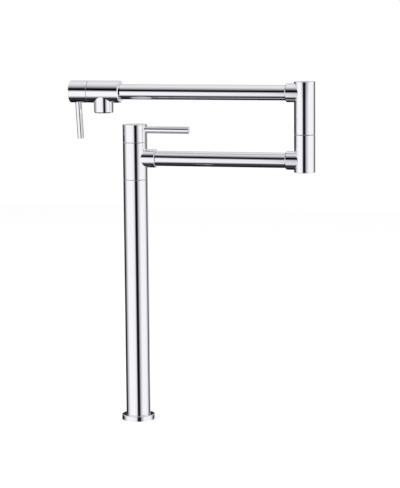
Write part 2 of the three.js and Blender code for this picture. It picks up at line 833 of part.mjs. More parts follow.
buildBase();
buildColumnSwivel();
buildColumnValve();
buildArmTubes();
buildElbow();
buildSpoutHead();
buildHeadValve();

export default potFiller;
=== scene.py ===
# %% [markdown]
# # A deck-mounted pot filler in polished chrome
# This lesson rebuilds a tall kitchen tap: a column on a small flange, a hub that swivels on the
# column, two tube arms joined by an elbow post, a lever valve on the column and one at the spout.
# The exact frame gives every size. Blender adds what the frame can't: smooth mirror surfaces,
# rounded rims, real threads and the finish of each metal, rubber and plastic.

import json
import math

import bmesh
import bpy
from mathutils import Matrix, Vector


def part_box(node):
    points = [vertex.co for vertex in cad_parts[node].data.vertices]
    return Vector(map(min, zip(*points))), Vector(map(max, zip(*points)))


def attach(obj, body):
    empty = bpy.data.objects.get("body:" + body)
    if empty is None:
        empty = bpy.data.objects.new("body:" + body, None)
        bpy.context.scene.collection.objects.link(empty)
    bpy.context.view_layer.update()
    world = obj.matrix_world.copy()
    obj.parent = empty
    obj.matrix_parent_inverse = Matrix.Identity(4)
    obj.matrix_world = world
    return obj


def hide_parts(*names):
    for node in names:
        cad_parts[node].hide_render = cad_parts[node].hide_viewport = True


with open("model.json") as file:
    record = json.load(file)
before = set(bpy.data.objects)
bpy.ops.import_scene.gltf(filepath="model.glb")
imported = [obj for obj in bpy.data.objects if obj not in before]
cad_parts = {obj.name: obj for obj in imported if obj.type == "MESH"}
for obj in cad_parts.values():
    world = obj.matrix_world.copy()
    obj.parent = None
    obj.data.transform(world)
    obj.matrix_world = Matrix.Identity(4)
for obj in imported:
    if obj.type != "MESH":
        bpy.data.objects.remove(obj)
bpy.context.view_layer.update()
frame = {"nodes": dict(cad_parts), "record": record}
print("nodes in the frame:", len(frame["nodes"]))

# %% [markdown]
# ## Reading sizes from the frame
# Every round piece here has its axis on a known line, so its radius is half the width of its box.
# A size that is read this way can't drift from the frame. The four lines below are the axes.

# %% Sizes from the frame
MM = 0.001


def low(node_name):
    """A node's lowest corner, in millimetres."""
    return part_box(node_name)[0] / MM


def high(node_name):
    """A node's highest corner, in millimetres."""
    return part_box(node_name)[1] / MM


LOWER_ARM_Z = (low("lower_arm_tube").z + high("lower_arm_tube").z) / 2
UPPER_ARM_Z = (low("upper_arm_tube").z + high("upper_arm_tube").z) / 2
ELBOW_X = (low("elbow_spindle").x + high("elbow_spindle").x) / 2
OUTLET_X = (low("aerator_housing").x + high("aerator_housing").x) / 2
print("arm axes at", round(LOWER_ARM_Z, 1), "and", round(UPPER_ARM_Z, 1), "mm")

# %% [markdown]
# ## Camera
# The camera stands about three metres away, a little to the right of the tap and a little above
# it. The long focal length keeps the column almost straight. The place and the three turns were
# fitted to the edges of the tap in the photograph.

# %% Camera
CAMERA_PLACE = (0.90955, -2.97702, 0.71114)
CAMERA_AZIMUTH = 15.054
CAMERA_DIP = 7.653
CAMERA_ROLL = -0.494
FOCAL_PIXELS = 1900
IMAGE_HEIGHT = 488
SENSOR = 36                     # mm, on the picture's long side

camera_data = bpy.data.cameras.new("camera")
camera_data.sensor_width = SENSOR
camera_data.lens = FOCAL_PIXELS * SENSOR / IMAGE_HEIGHT
camera_data.clip_end = 50
camera = bpy.data.objects.new("camera", camera_data)
bpy.context.scene.collection.objects.link(camera)
turn = Matrix.Rotation(math.radians(CAMERA_AZIMUTH), 4, "Z")
tip = Matrix.Rotation(math.radians(90 - CAMERA_DIP), 4, "X")
roll = Matrix.Rotation(math.radians(CAMERA_ROLL), 4, "Z")
camera.matrix_world = Matrix.Translation(CAMERA_PLACE) @ turn @ tip @ roll
bpy.context.scene.camera = camera
bpy.context.scene.view_settings.view_transform = "Standard"
print("lens", round(camera_data.lens, 1), "mm")

# %% [markdown]
# ## Adding shader nodes
# Every finish below is a few nodes. One function adds a node, sets its settings and its sockets,
# and links what comes in, so each material reads as a list. Colours are written as sRGB hex and
# turned to the linear values that a shader works in.


# %% Node and colour helpers
def linear(hex_colour):
    channels = []
    for start in (0, 2, 4):
        value = int(hex_colour[start:start + 2], 16) / 255
        channels.append(value / 12.92 if value <= 0.04045 else ((value + 0.055) / 1.055) ** 2.4)
    return (*channels, 1.0)


def node(tree, kind, settings=None, values=None, links=None):
    """Adds one shader node. Links go from an output socket to a named or numbered input."""
    added = tree.nodes.new(kind)
    for name, value in (settings or {}).items():
        setattr(added, name, value)
    for socket, value in (values or {}).items():
        added.inputs[socket].default_value = value
    for socket, source in (links or {}).items():
        tree.links.new(source, added.inputs[socket])
    return added


def bare_material(piece, name):
    """Gives a piece a material without any nodes and returns its node tree."""
    material = bpy.data.materials.new(name)
    material.use_nodes = True
    material.node_tree.nodes.clear()
    piece.data.materials.append(material)
    return material.node_tree


DARK_BLUE = 0.006


def set_ramp(ramp_node, stops):
    """Gives a colour ramp its (position, grey) stops. Its darkest greys are a trace blue."""
    ramp = ramp_node.color_ramp
    while len(ramp.elements) > 1:
        ramp.elements.remove(ramp.elements[-1])
    ramp.elements[0].position = stops[0][0]
    for position, _ in stops[1:]:
        ramp.elements.new(position)
    for element, (_, grey) in zip(ramp.elements, stops):
        element.color = (grey, grey, grey + DARK_BLUE * (1 - grey), 1)


# %% [markdown]
# ## The studio that the chrome mirrors
# A chrome tap has no colour of its own to show: what the eye sees is the studio. White walls and
# a white ceiling give the broad pale fields. The room is dark close below the tap and behind it,
# and that outlines every tube against the white background. Two bright strips stand in the dark
# behind, one level and one upright, so that the chrome still shines where it faces away.
#
# The world shader paints that room by direction, for glossy rays only. Elevation is measured in
# degrees above the horizon, and azimuth in degrees from straight in front, positive to the right.

# %% World
WALL_BY_ELEVATION = [
    (-90, 0.01), (-75, 0.06), (-70, 0.02), (-63, 0.04), (-58, 0.14), (-51, 0.48), (-44, 0.80),
    (-36, 0.97), (18, 0.97), (32, 0.80), (45, 0.52), (52, 0.47), (62, 0.62), (70, 0.76), (78, 0.86),
    (90, 0.90),
]
REAR_BY_ELEVATION = [
    (-90, 0.01), (-76, 0.05), (-68, 0.01), (-2, 0.01), (1, 0.48), (3, 0.62), (7, 0.60), (10, 0.10),
    (12, 0.02), (16, 0.03), (20, 0.45), (25, 0.72), (45, 0.76), (90, 0.90),
]
FRONT_BY_AZIMUTH = [
    (-180, 0), (-117, 0), (-110, 0.04), (-103, 0.14), (-96, 0.33), (-89, 0.54), (-81, 0.74), (-72, 0.89),
    (-62, 1), (100, 1), (111, 0.94), (118, 0.84), (126, 0.64), (134, 0.32), (142, 0.08), (148, 0),
    (156, 0), (162, 0.75), (172, 0.75), (178, 0), (180, 0),
]
AMBIENT = 0.75

world = bpy.data.worlds.new("studio")
bpy.context.scene.world = world
world.use_nodes = True
tree = world.node_tree
tree.nodes.clear()


def fraction(degrees, lowest, highest):
    return (degrees - lowest) / (highest - lowest)


def ramp_over(angle_socket, lowest, highest, stops):
    """A ramp over an angle in radians, with stops given in degrees."""
    position = node(tree, "ShaderNodeMapRange", {"clamp": True}, {
        "From Min": math.radians(lowest), "From Max": math.radians(highest)},
        {"Value": angle_socket})
    ramp_node = node(tree, "ShaderNodeValToRGB", links={"Fac": position.outputs["Result"]})
    set_ramp(ramp_node, [(fraction(angle, lowest, highest), grey) for angle, grey in stops])
    return ramp_node.outputs["Color"]


direction = node(tree, "ShaderNodeTexCoord").outputs["Generated"]
parts = node(tree, "ShaderNodeSeparateXYZ", links={0: direction})
elevation = node(tree, "ShaderNodeMath", {"operation": "ARCSINE", "use_clamp": False},
                 links={0: parts.outputs["Z"]})
toward = node(tree, "ShaderNodeMath", {"operation": "MULTIPLY"}, {1: -1}, {0: parts.outputs["Y"]})
azimuth = node(tree, "ShaderNodeMath", {"operation": "ARCTAN2"},
               links={0: parts.outputs["X"], 1: toward.outputs[0]})
wall = ramp_over(elevation.outputs[0], -90, 90, WALL_BY_ELEVATION)
rear = ramp_over(elevation.outputs[0], -90, 90, REAR_BY_ELEVATION)
in_front = ramp_over(azimuth.outputs[0], -180, 180, FRONT_BY_AZIMUTH)
room = node(tree, "ShaderNodeMix", {"data_type": "RGBA"}, links={0: in_front, 6: rear, 7: wall})
paths = node(tree, "ShaderNodeLightPath")
mirrored = node(tree, "ShaderNodeMix", {"data_type": "RGBA"},
                {6: (AMBIENT, AMBIENT, AMBIENT, 1)},
                {0: paths.outputs["Is Glossy Ray"], 7: room.outputs[2]})
seen = node(tree, "ShaderNodeMix", {"data_type": "RGBA"}, {7: (1, 1, 1, 1)},
            {0: paths.outputs["Is Camera Ray"], 6: mirrored.outputs[2]})
background = node(tree, "ShaderNodeBackground", links={"Color": seen.outputs[2]})
node(tree, "ShaderNodeOutputWorld", links={"Surface": background.outputs[0]})
print("world nodes:", len(tree.nodes))

# %% [markdown]
# ## Selecting as by hand
# An operator acts on everything that is selected, so each new piece starts with nothing selected.
# In edit mode, edges are then picked by where they are, as the mouse would pick them.


# %% Selection helpers
def deselect_all():
    if bpy.context.mode != "OBJECT":
        bpy.ops.object.mode_set(mode="OBJECT")
    bpy.ops.object.select_all(action="DESELECT")


def make_active(piece):
    deselect_all()
    piece.select_set(True)
    bpy.context.view_layer.objects.active = piece


def edit(piece):
    make_active(piece)
    bpy.ops.object.mode_set(mode="EDIT")


def pick_edges(piece, wanted):
    """In edit mode, selects the edges whose two ends both pass the test, and nothing else."""
    bpy.ops.mesh.select_all(action="DESELECT")
    bpy.ops.mesh.select_mode(type="EDGE")
    mesh = bmesh.from_edit_mesh(piece.data)
    for mesh_edge in mesh.edges:
        mesh_edge.select = all(wanted(corner.co) for corner in mesh_edge.verts)
    mesh.select_flush(True)
    bmesh.update_edit_mesh(piece.data)


# %% [markdown]
# ## Floor and lamps
# The floor is a plain pale plane at the height of the deck. It glows a little for the camera, so
# that it meets the white background without a line, and still darkens in the tap's soft shadow.
# The chrome doesn't mirror it, as the photograph's chrome shows the same studio down to its foot.

# %% Floor and lamps
FLOOR_SIZE = 6
FLOOR_COLOUR = "E2E2E4"
FLOOR_GLOW = 0.38
KEY_PLACE = (-1.2, -1.6, 2.6)
KEY_SIZE = 1.8
KEY_POWER = 22
FILL_PLACE = (1.8, -0.6, 1.5)
FILL_SIZE = 1.4
FILL_POWER = 9
LAMP_AIM = Vector((0.1, 0, 0.25))

deselect_all()
bpy.ops.mesh.primitive_plane_add(size=FLOOR_SIZE)
floor = bpy.context.object
floor.name = "floor"
floor.visible_glossy = False
tree = bare_material(floor, "pale_floor")
matt = node(tree, "ShaderNodeBsdfDiffuse", values={"Color": linear(FLOOR_COLOUR)})
glow = node(tree, "ShaderNodeEmission", values={"Color": (1, 1, 1, 1)})
paths = node(tree, "ShaderNodeLightPath")
glow_level = node(tree, "ShaderNodeMath", {"operation": "MULTIPLY"}, {1: FLOOR_GLOW},
                  {0: paths.outputs["Is Camera Ray"]})
tree.links.new(glow_level.outputs[0], glow.inputs["Strength"])
both = node(tree, "ShaderNodeAddShader", links={0: matt.outputs[0], 1: glow.outputs[0]})
node(tree, "ShaderNodeOutputMaterial", links={"Surface": both.outputs[0]})


def soft_lamp(name, place, size, power):
    lamp_data = bpy.data.lights.new(name, "AREA")
    lamp_data.size = size
    lamp_data.energy = power
    lamp = bpy.data.objects.new(name, lamp_data)
    bpy.context.scene.collection.objects.link(lamp)
    lamp.location = place
    aim = LAMP_AIM - lamp.location
    lamp.rotation_euler = aim.to_track_quat("-Z", "Y").to_euler()
    lamp.visible_glossy = False
    lamp.visible_camera = False


soft_lamp("key_softbox", KEY_PLACE, KEY_SIZE, KEY_POWER)
soft_lamp("fill_softbox", FILL_PLACE, FILL_SIZE, FILL_POWER)

# %% [markdown]
# ## The screen in front of the tap
# The reflections look like a gap between two white screens, under a dark slot. The gap draws the
# black line down the front of the column, the post and the outlet, and the slot draws the line
# along the upper side of each arm. Both lie near the tap, so each piece mirrors them at a slightly
# different place, and a card at a near distance gives that. Only mirror rays see it.
#
# The card glows by place. A ramp across gives the gap, a ramp upwards gives the slot, and the two
# are multiplied. The slot rises a little to the left of its bend.

# %% Screen
SCREEN_Y = -0.9
SCREEN_LEFT, SCREEN_RIGHT = -2.6, 2.6
SCREEN_BOTTOM, SCREEN_TOP = -0.35, 1.8
SLOT_SLOPE = 0.35
SLOT_BEND = -0.1
ACROSS = [(-2.6, 1), (-0.35, 0.99), (-0.14, 0.94), (0.0, 0.87), (0.08, 0.68), (0.14, 0.30), (0.20, 0.01),
          (0.50, 0.0), (0.57, 0.06), (0.65, 0.28), (0.80, 0.50), (1.0, 0.68), (1.25, 0.81), (1.5, 0.89),
          (1.8, 0.96), (2.2, 1), (2.6, 1)]
UPWARDS = [(-0.35, 1), (0.43, 1), (0.55, 0.50), (0.68, 0.03), (0.73, 0.0), (1.02, 0.0), (1.16, 0.11),
           (1.37, 0.30), (1.67, 0.43), (1.8, 0.46)]

deselect_all()
bpy.ops.mesh.primitive_plane_add(size=1)
screen = bpy.context.object
screen.name = "front_screen"
screen.scale = (SCREEN_RIGHT - SCREEN_LEFT, SCREEN_TOP - SCREEN_BOTTOM, 1)
screen.rotation_euler = (math.radians(90), 0, 0)
screen.location = ((SCREEN_LEFT + SCREEN_RIGHT) / 2, SCREEN_Y, (SCREEN_BOTTOM + SCREEN_TOP) / 2)
bpy.ops.object.transform_apply(location=True, rotation=True, scale=True)
screen.visible_camera = False
screen.visible_diffuse = False
screen.visible_shadow = False
screen.visible_transmission = False
tree = bare_material(screen, "front_screen")
place = node(tree, "ShaderNodeTexCoord").outputs["Object"]
along = node(tree, "ShaderNodeSeparateXYZ", links={0: place})
leftwards = node(tree, "ShaderNodeMath", {"operation": "MINIMUM"}, {1: SLOT_BEND},
                 {0: along.outputs["X"]})
risen = node(tree, "ShaderNodeMath", {"operation": "MULTIPLY_ADD"}, {1: SLOT_SLOPE},
             {0: leftwards.outputs[0], 2: along.outputs["Z"]})


def ramp_along(position_socket, stops):
    """A ramp along a length in metres."""
    first, last = stops[0][0], stops[-1][0]
    position = node(tree, "ShaderNodeMapRange", {"clamp": True}, {"From Min": first, "From Max": last},
                    {"Value": position_socket})
    ramp_node = node(tree, "ShaderNodeValToRGB", links={"Fac": position.outputs["Result"]})
    set_ramp(ramp_node, [(fraction(metres, first, last), grey) for metres, grey in stops])
    return ramp_node.outputs["Color"]


shade = node(tree, "ShaderNodeMix", {"data_type": "RGBA", "blend_type": "MULTIPLY"}, {0: 1},
             {6: ramp_along(along.outputs["X"], ACROSS), 7: ramp_along(risen.outputs[0], UPWARDS)})
lit = node(tree, "ShaderNodeEmission", links={"Color": shade.outputs[2]})
node(tree, "ShaderNodeOutputMaterial", links={"Surface": lit.outputs[0]})
print("screen stops:", len(ACROSS), "across,", len(UPWARDS), "upwards")

# %% [markdown]
# ## Materials
# Each finish starts from the real one. Its base values are typical for the material, and a fine
# pattern at a real size in millimetres keeps it from looking like a flat colour.

# %% Material helpers
NOISE_LOW, NOISE_HIGH = 0.25, 0.75      # where nearly all values of the noise lie


def new_material(name, roughness=0.5, metallic=0.0):
    material = bpy.data.materials.new(name)
    material.use_nodes = True
    tree = material.node_tree
    surface = tree.nodes["Principled BSDF"]
    surface.inputs["Metallic"].default_value = metallic
    surface.inputs["Roughness"].default_value = roughness
    return material, tree, surface


def cloudy(tree, size_mm, detail=3):
    """Soft noise on Object coordinates whose patches are about as wide as the given size."""
    place = node(tree, "ShaderNodeTexCoord").outputs["Object"]
    return node(tree, "ShaderNodeTexNoise", values={"Scale": 1 / (size_mm * MM), "Detail": detail},
                links={"Vector": place}).outputs["Fac"]


def between(tree, noise, least, most):
    """Spreads noise over the values between two others."""
    spread = node(tree, "ShaderNodeMapRange", {"clamp": True},
                  {"From Min": NOISE_LOW, "From Max": NOISE_HIGH, "To Min": least, "To Max": most},
                  {"Value": noise})
    return spread.outputs["Result"]


def two_colours(tree, factor, first, second):
    mix = node(tree, "ShaderNodeMix", {"data_type": "RGBA"},
               {6: linear(first), 7: linear(second)}, {0: factor})
    return mix.outputs[2]


def bumped(tree, surface, height, depth_mm, strength=1.0):
    bump = node(tree, "ShaderNodeBump", values={"Strength": strength, "Distance": depth_mm * MM},
                links={"Height": height})
    tree.links.new(bump.outputs["Normal"], surface.inputs["Normal"])


# %% [markdown]
# ### Chrome plate
# The brass under it is turned, then buffed until it is a mirror, then plated with nickel and a
# thin skin of chromium. Chromium is a little blue beside silver. Buffing leaves very faint hazy
# patches a finger wide, which only show as a small change in how sharp the mirror is.

# %% Chrome
CHROME, CHROME_HAZE = "F9F9FD", "F6F6FB"
CHROME_CLOUD_MM = 14
CHROME_ROUGHNESS = (0.028, 0.06)


def make_chrome():
    material, tree, surface = new_material("chrome_plated_brass", metallic=1)
    haze = cloudy(tree, CHROME_CLOUD_MM)
    tree.links.new(two_colours(tree, haze, CHROME, CHROME_HAZE), surface.inputs["Base Color"])
    tree.links.new(between(tree, haze, *CHROME_ROUGHNESS), surface.inputs["Roughness"])
    return material


# %% [markdown]
# ### Turned brass and steel
# Brass inside the tap, and the steel screws and washers, come straight from the lathe. The tool
# leaves fine rings: lines round the sides, circles on the end faces. The real feed is near 0.1 mm,
# which a picture can't hold, so the rings are drawn 0.35 mm apart. A Mapping node centres them on
# the axis that the piece was turned on.

# %% Turned metal
TOOL_MARK_MM = 0.35
TOOL_MARK_DEPTH_MM = 0.012
WAVE_RADIANS = 20               # the wave texture's own factor
STAIN_MM = 5
TURNED_ROUGHNESS = (0.24, 0.42)
BRASS_COLOURS = ("B8954F", "A07F41")


def make_turned_metal(name, colour, worn_colour, centre=(0, 0, 0), axis_turn=0):
    material, tree, surface = new_material(name, metallic=1)
    coordinates = node(tree, "ShaderNodeTexCoord")
    on_axis = node(tree, "ShaderNodeMapping", {"vector_type": "TEXTURE"},
                   {"Location": centre, "Rotation": (0, math.radians(axis_turn), 0)},
                   {"Vector": coordinates.outputs["Object"]}).outputs["Vector"]
    facing = node(tree, "ShaderNodeVectorRotate", {"rotation_type": "Y_AXIS"},
                  {"Angle": -math.radians(axis_turn)}, {"Vector": coordinates.outputs["Normal"]})
    parts = node(tree, "ShaderNodeSeparateXYZ", links={0: facing.outputs[0]})
    end_face = node(tree, "ShaderNodeMath", {"operation": "ABSOLUTE"}, links={0: parts.outputs["Z"]})
    scale = 2 * math.pi / (WAVE_RADIANS * TOOL_MARK_MM * MM)
    lines = node(tree, "ShaderNodeTexWave", {"wave_type": "BANDS", "bands_direction": "Z"},
                 {"Scale": scale}, {"Vector": on_axis})
    circles = node(tree, "ShaderNodeTexWave", {"wave_type": "RINGS", "rings_direction": "Z"},
                   {"Scale": scale}, {"Vector": on_axis})
    marks = node(tree, "ShaderNodeMix", {"data_type": "FLOAT"},
                 links={0: end_face.outputs[0], 2: lines.outputs["Fac"], 3: circles.outputs["Fac"]})
    stain = cloudy(tree, STAIN_MM)
    tree.links.new(two_colours(tree, stain, colour, worn_colour), surface.inputs["Base Color"])
    tree.links.new(between(tree, stain, *TURNED_ROUGHNESS), surface.inputs["Roughness"])
    bumped(tree, surface, marks.outputs[0], TOOL_MARK_DEPTH_MM)
    return material


# %% [markdown]
# ### Rubber, plastics and ceramic
# The seals are moulded black nitrile rubber: matt, with a fine sandy skin from the mould. The
# bearing rings are dark acetal, a slippery plastic with a soft sheen. The valve's discs are
# alumina, lapped so flat that water can't pass between them. The aerator's insert is pale acetal,
# which lets a little light in.

# %% Rubber, plastics and ceramic
ROUGHNESS_SPREAD = 0.06
LIGHT_DEPTH_MM = 2


def make_moulded(name, colour, second, roughness, cloud_mm, grain_mm, grain_depth_mm, translucent=0.0):
    """A moulded or lapped finish: broad clouds of colour and sheen, and a fine grain in relief."""
    material, tree, surface = new_material(name)
    cloud = cloudy(tree, cloud_mm)
    grain = cloudy(tree, grain_mm, 2)
    tree.links.new(two_colours(tree, cloud, colour, second), surface.inputs["Base Color"])
    sheen = between(tree, cloud, roughness - ROUGHNESS_SPREAD, roughness + ROUGHNESS_SPREAD)
    tree.links.new(sheen, surface.inputs["Roughness"])
    surface.inputs["Subsurface Weight"].default_value = translucent
    surface.inputs["Subsurface Radius"].default_value = [LIGHT_DEPTH_MM * MM] * 3
    bumped(tree, surface, grain, grain_depth_mm)
    return material


CHROME_PLATE = make_chrome()
BRASS_COLUMN = make_turned_metal("turned_brass", *BRASS_COLOURS)
BRASS_ELBOW = make_turned_metal("turned_brass_elbow", *BRASS_COLOURS, centre=(ELBOW_X * MM, 0, 0))
BRASS_HEAD = make_turned_metal("turned_brass_head", *BRASS_COLOURS,
                               centre=(0, 0, UPPER_ARM_Z * MM), axis_turn=90)
STEEL = make_turned_metal("turned_stainless_steel", "B4B6B9", "9C9EA2")
RUBBER = make_moulded("moulded_nitrile_rubber", "1C1C1D", "242425", roughness=0.8,
                      cloud_mm=6, grain_mm=0.35, grain_depth_mm=0.03)
BEARING_PLASTIC = make_moulded("moulded_acetal", "3A3B3E", "2F3033", roughness=0.42,
                               cloud_mm=8, grain_mm=0.5, grain_depth_mm=0.01)
CERAMIC = make_moulded("lapped_alumina", "F1EEE6", "E9E5DB", roughness=0.2,
                       cloud_mm=3, grain_mm=0.3, grain_depth_mm=0.004)
AERATOR_PLASTIC = make_moulded("pale_acetal", "C9CDD2", "D3D6DA", roughness=0.42,
                               cloud_mm=5, grain_mm=0.5, grain_depth_mm=0.01, translucent=0.15)
print("materials:", len(bpy.data.materials))

# %% [markdown]
# ## Turning a piece
# Nearly every piece of a tap is made on a lathe, so one helper does most of the modelling. It adds
# a circle, then extrudes it step by step along a short outline of (radius, height) corners, sizing
# each new ring. An outline that starts on the axis gives a solid piece and one that doesn't gives
# a ring. A second helper rounds a rim afterwards, as a file and a buffing wheel do.
#
# The pieces are modelled in millimetres, and the last step of each brings it to metres.

# %% Lathe helpers
ROUND_SIDES = 192
SMALL_SIDES = 96
RIM_STEPS = 5
SEAM_EDGE = 0.4                 # for edges that only lose their burr
EDGE_STEPS = 3
CLOSE = 0.01


def turned(outline, sides=ROUND_SIDES):
    """Turns an outline of (radius, height) corners round the Z axis."""
    solid = outline[0][0] == 0
    rings = outline[1:-1] if solid else [*outline, outline[0]]
    radius, height = rings[0]
    deselect_all()
    bpy.ops.mesh.primitive_circle_add(vertices=sides, radius=radius, location=(0, 0, height),
                                      fill_type="NGON" if solid else "NOTHING")
    piece = bpy.context.object
    bpy.ops.object.transform_apply(location=True, rotation=False, scale=False)
    edit(piece)
    bpy.ops.mesh.select_mode(type="FACE" if solid else "EDGE")
    bpy.ops.mesh.select_all(action="SELECT")
    for next_radius, next_height in rings[1:]:
        rise = {"value": (0, 0, next_height - height)}
        bpy.ops.mesh.extrude_region_move(TRANSFORM_OT_translate=rise)
        growth = next_radius / radius
        bpy.ops.transform.resize(value=(growth, growth, 1), center_override=(0, 0, next_height))
        radius, height = next_radius, next_height
    bpy.ops.mesh.select_all(action="SELECT")
    bpy.ops.mesh.remove_doubles(threshold=CLOSE / 2)
    bpy.ops.mesh.normals_make_consistent(inside=False)
    deselect_all()
    return piece


def ring(inner, outer, bottom, top, sides=ROUND_SIDES):
    """A straight ring about the Z axis, or a solid cylinder where its inner radius is 0."""
    return turned([(inner, bottom), (outer, bottom), (outer, top), (inner, top)], sides)


def round_rim(piece, radius, height, size, steps=RIM_STEPS):
    """Rounds the rim at a radius and height of a piece that still stands on the Z axis."""
    edit(piece)
    pick_edges(piece, lambda corner: abs(math.hypot(corner.x, corner.y) - radius) < CLOSE
               and abs(corner.z - height) < CLOSE)
    bpy.ops.mesh.bevel(offset=size, segments=steps, affect="EDGES")
    deselect_all()


def take_burr(piece, radius, *heights):
    for height in heights:
        round_rim(piece, radius, height, SEAM_EDGE, EDGE_STEPS)


def lay(piece, turn=(0, 0, 0), place=(0, 0, 0)):
    """Turns a piece by degrees about X, Y and Z, then moves it, and puts both into its mesh."""
    make_active(piece)
    piece.rotation_euler = [math.radians(angle) for angle in turn]
    piece.location = place
    bpy.ops.object.transform_apply(location=True, rotation=True, scale=True)
    return piece


TO_RIGHT = (0, 90, 0)
TO_LEFT = (0, -90, 0)


def combine(piece, tool, operation):
    """Joins, cuts or trims a piece with a tool, which is used up."""
    make_active(piece)
    modifier = piece.modifiers.new("combine", "BOOLEAN")
    modifier.operation = operation
    modifier.solver = "EXACT"
    modifier.object = tool
    bpy.ops.object.modifier_apply(modifier=modifier.name)
    bpy.data.objects.remove(tool, do_unlink=True)


# %% [markdown]
# ## Handing a piece over
# A finished piece is scaled to metres, shaded smooth except at true corners, and gets its metal.
# Weighted normals keep the flat faces flat beside their rounded rims, which matters on a mirror.
# Then the piece takes the place of the frame's node: it rides on the same body.

# %% Finish helper
CORNER_ANGLE = 22


def body_holding(node_name):
    bodies = frame["record"]["behaviour"]["bodies"]
    return next(body for body, nodes in bodies.items() if node_name in nodes)


def finish_piece(piece, node_name, material):
    make_active(piece)
    piece.scale = (MM, MM, MM)
    bpy.ops.object.transform_apply(location=False, rotation=False, scale=True)
    bpy.ops.object.shade_smooth_by_angle(angle=math.radians(CORNER_ANGLE))
    weighted = piece.modifiers.new("weighted", "WEIGHTED_NORMAL")
    weighted.keep_sharp = True
    bpy.ops.object.modifier_apply(modifier=weighted.name)
    piece.name = "fine_" + node_name
    piece.data.materials.clear()
    piece.data.materials.append(material)
    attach(piece, body_holding(node_name))
    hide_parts(node_name)
    print(piece.name, len(piece.data.polygons), "faces")


def finish_chrome(piece, node_name):
    finish_piece(piece, node_name, CHROME_PLATE)


def finish_brass(piece, node_name):
    finish_piece(piece, node_name, BRASS_COLUMN)


# %% [markdown]
# ## Column and base
# The column is a straight brass tube on a small round flange. The flange's upper rim is rounded
# and its underside has a groove for the gasket. The tube's ends only have their burr taken off,
# which makes the seams in the column read as thin lines.

# %% Column and base
COLUMN_RADIUS = high("column_tube").x
COLUMN_WALL = 2.5
FLANGE_RIM = 1.2
FLANGE_RIM_STEPS = 8
GASKET_WIDTH = 5
CLEARANCE = 0.3                 # between pieces that slide into each other
SLIP = 0.05                     # between faces that rest on each other
GROOVE_DEPTH = high("base_gasket").z + SLIP


def make_flange():
    radius, top = high("base_flange").x, high("base_flange").z
    bore = high("threaded_shank").x + CLEARANCE
    gasket_outer = high("base_gasket").x + CLEARANCE
    gasket_inner = gasket_outer - GASKET_WIDTH - 2 * CLEARANCE
    flange = turned([(bore, 0), (gasket_inner, 0), (gasket_inner, GROOVE_DEPTH),
                     (gasket_outer, GROOVE_DEPTH), (gasket_outer, 0), (radius, 0), (radius, top),
                     (bore, top)])
    round_rim(flange, radius, top, FLANGE_RIM, FLANGE_RIM_STEPS)
    round_rim(flange, radius, 0, CLEARANCE, EDGE_STEPS)
    finish_chrome(flange, "base_flange")


def make_column_tube():
    bottom, top = low("column_tube").z, high("column_tube").z
    bore = COLUMN_RADIUS - COLUMN_WALL
    tube = ring(bore, COLUMN_RADIUS, bottom, top)
    take_burr(tube, COLUMN_RADIUS, top, bottom)
    finish_chrome(tube, "column_tube")


make_flange()
make_column_tube()

# %% [markdown]
# ## Housings: a barrel, a side boss and two stepped bores
# The hub, both elbow housings and the spout head are made alike. A barrel is joined with a
# cylinder at right angles to it, and the two are then bored out. The joint keeps its sharp
# corner, as on brazed tubes that are only buffed. A stepped bore is one solid of revolution, and
# cutting with it makes every shoulder inside at once.

# %% Swivel hub
ARM_RADIUS = high("lower_arm_tube").y
ARM_WALL = 1.5
BOSS_WALL = 2.75
BOSS_RADIUS = ARM_RADIUS + BOSS_WALL
SOCKET_RADIUS = ARM_RADIUS + CLEARANCE
WATERWAY_RADIUS = ARM_RADIUS - ARM_WALL
SOCKET_STOP = 0.3
HUB_LEDGE = 1.7                 # the bearing is this much wider than the column's wall
HUB_BORE = high("hub_lower_bearing").x - COLUMN_WALL - HUB_LEDGE
HUB_BOSS_CHAMFER = 0.7
PAST = 2                        # how far a cutting tool reaches out of the piece


def make_boss(reach, chamfer):
    """A boss along +Z from the origin, which takes the end of an arm tube."""
    return turned([(0, 0), (BOSS_RADIUS, 0), (BOSS_RADIUS, reach - chamfer),
                   (BOSS_RADIUS - chamfer, reach), (0, reach)])


def arm_socket(reach, stop):
    """The stepped bore of a boss: a waterway, then the wider socket that the tube sits in."""
    return turned([(0, 0), (WATERWAY_RADIUS, 0), (WATERWAY_RADIUS, stop),
                   (SOCKET_RADIUS, stop), (SOCKET_RADIUS, reach + PAST), (0, reach + PAST)])


def make_hub():
    bottom, top = low("arm_hub").z, high("arm_hub").z
    reach = high("arm_hub").x
    chamber = (COLUMN_RADIUS + HUB_BORE) / 2
    chamber_bottom = LOWER_ARM_Z - SOCKET_RADIUS + PAST
    chamber_top = LOWER_ARM_Z + SOCKET_RADIUS - PAST
    counterbore = low("hub_upper_bearing").z - 2 * SLIP
    hub = ring(0, COLUMN_RADIUS, bottom, top)
    take_burr(hub, COLUMN_RADIUS, top, bottom)
    combine(hub, lay(make_boss(reach, HUB_BOSS_CHAMFER), TO_RIGHT, (0, 0, LOWER_ARM_Z)), "UNION")
    combine(hub, turned([(0, bottom - PAST), (HUB_BORE, bottom - PAST), (HUB_BORE, chamber_bottom),
                         (chamber, chamber_bottom), (chamber, chamber_top),
                         (HUB_BORE, chamber_top), (HUB_BORE, counterbore),
                         (chamber, counterbore), (chamber, top + PAST), (0, top + PAST)]), "DIFFERENCE")
    socket_stop = low("lower_arm_tube").x - SOCKET_STOP
    combine(hub, lay(arm_socket(reach, socket_stop), TO_RIGHT, (0, 0, LOWER_ARM_Z)), "DIFFERENCE")
    finish_chrome(hub, "arm_hub")


make_hub()

# %% [markdown]
# ## Arm tubes
# Both arms are the same drawn tube, cut to two lengths. Each end is hidden in a socket, so its rim
# only loses its burr.

# %% Arm tubes


